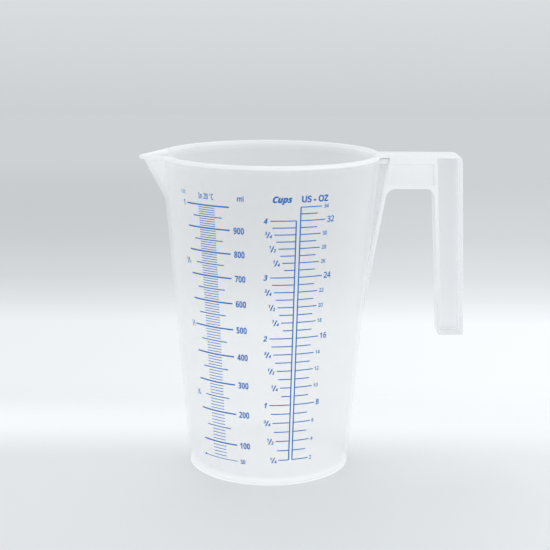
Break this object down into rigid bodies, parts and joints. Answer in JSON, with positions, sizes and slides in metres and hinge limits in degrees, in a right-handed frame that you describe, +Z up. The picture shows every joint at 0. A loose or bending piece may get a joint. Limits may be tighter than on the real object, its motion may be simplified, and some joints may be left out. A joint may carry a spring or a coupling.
{
  "type": "measuring jug",
  "caption": "Tapered frosted plastic measuring jug with a V-shaped pouring spout, an open-ended flanged handle, and printed millilitre, cup and fluid ounce scales.",
  "frame": {"origin": "centre of the underside, on the vessel's axis", "axes": "+Z up the vessel's axis, +X towards the handle, -X towards the spout, -Y the printed side"},
  "size_m": [0.1724, 0.1142, 0.167],
  "materials": {
    "frosted_plastic": "translucent polypropylene, frosted outside with a soft sheen",
    "blue_ink": "flat screen-printed ink"
  },
  "bodies": {
    "root": {"base": "frosted_plastic", "wall": "frosted_plastic", "rim": "frosted_plastic", "spout": "frosted_plastic", "handle_strap": "frosted_plastic", "grip_flange": "frosted_plastic", "gusset_flange": "frosted_plastic", "arch_flange": "frosted_plastic", "thumb_panel": "frosted_plastic", "grip_web": "frosted_plastic", "gusset_web": "frosted_plastic", "millilitre_mark_50": "blue_ink", "millilitre_mark_100": "blue_ink", "millilitre_mark_150": "blue_ink", "millilitre_mark_200": "blue_ink", "millilitre_mark_250": "blue_ink", "millilitre_mark_300": "blue_ink", "millilitre_mark_350": "blue_ink", "millilitre_mark_400": "blue_ink", "millilitre_mark_450": "blue_ink", "millilitre_mark_500": "blue_ink", "millilitre_mark_550": "blue_ink", "millilitre_mark_600": "blue_ink", "millilitre_mark_650": "blue_ink", "millilitre_mark_700": "blue_ink", "millilitre_mark_750": "blue_ink", "millilitre_mark_800": "blue_ink", "millilitre_mark_850": "blue_ink", "millilitre_mark_900": "blue_ink", "millilitre_mark_950": "blue_ink", "millilitre_mark_1000": "blue_ink", "cup_scale": "blue_ink", "ounce_scale": "blue_ink"}
  },
  "joints": []
}
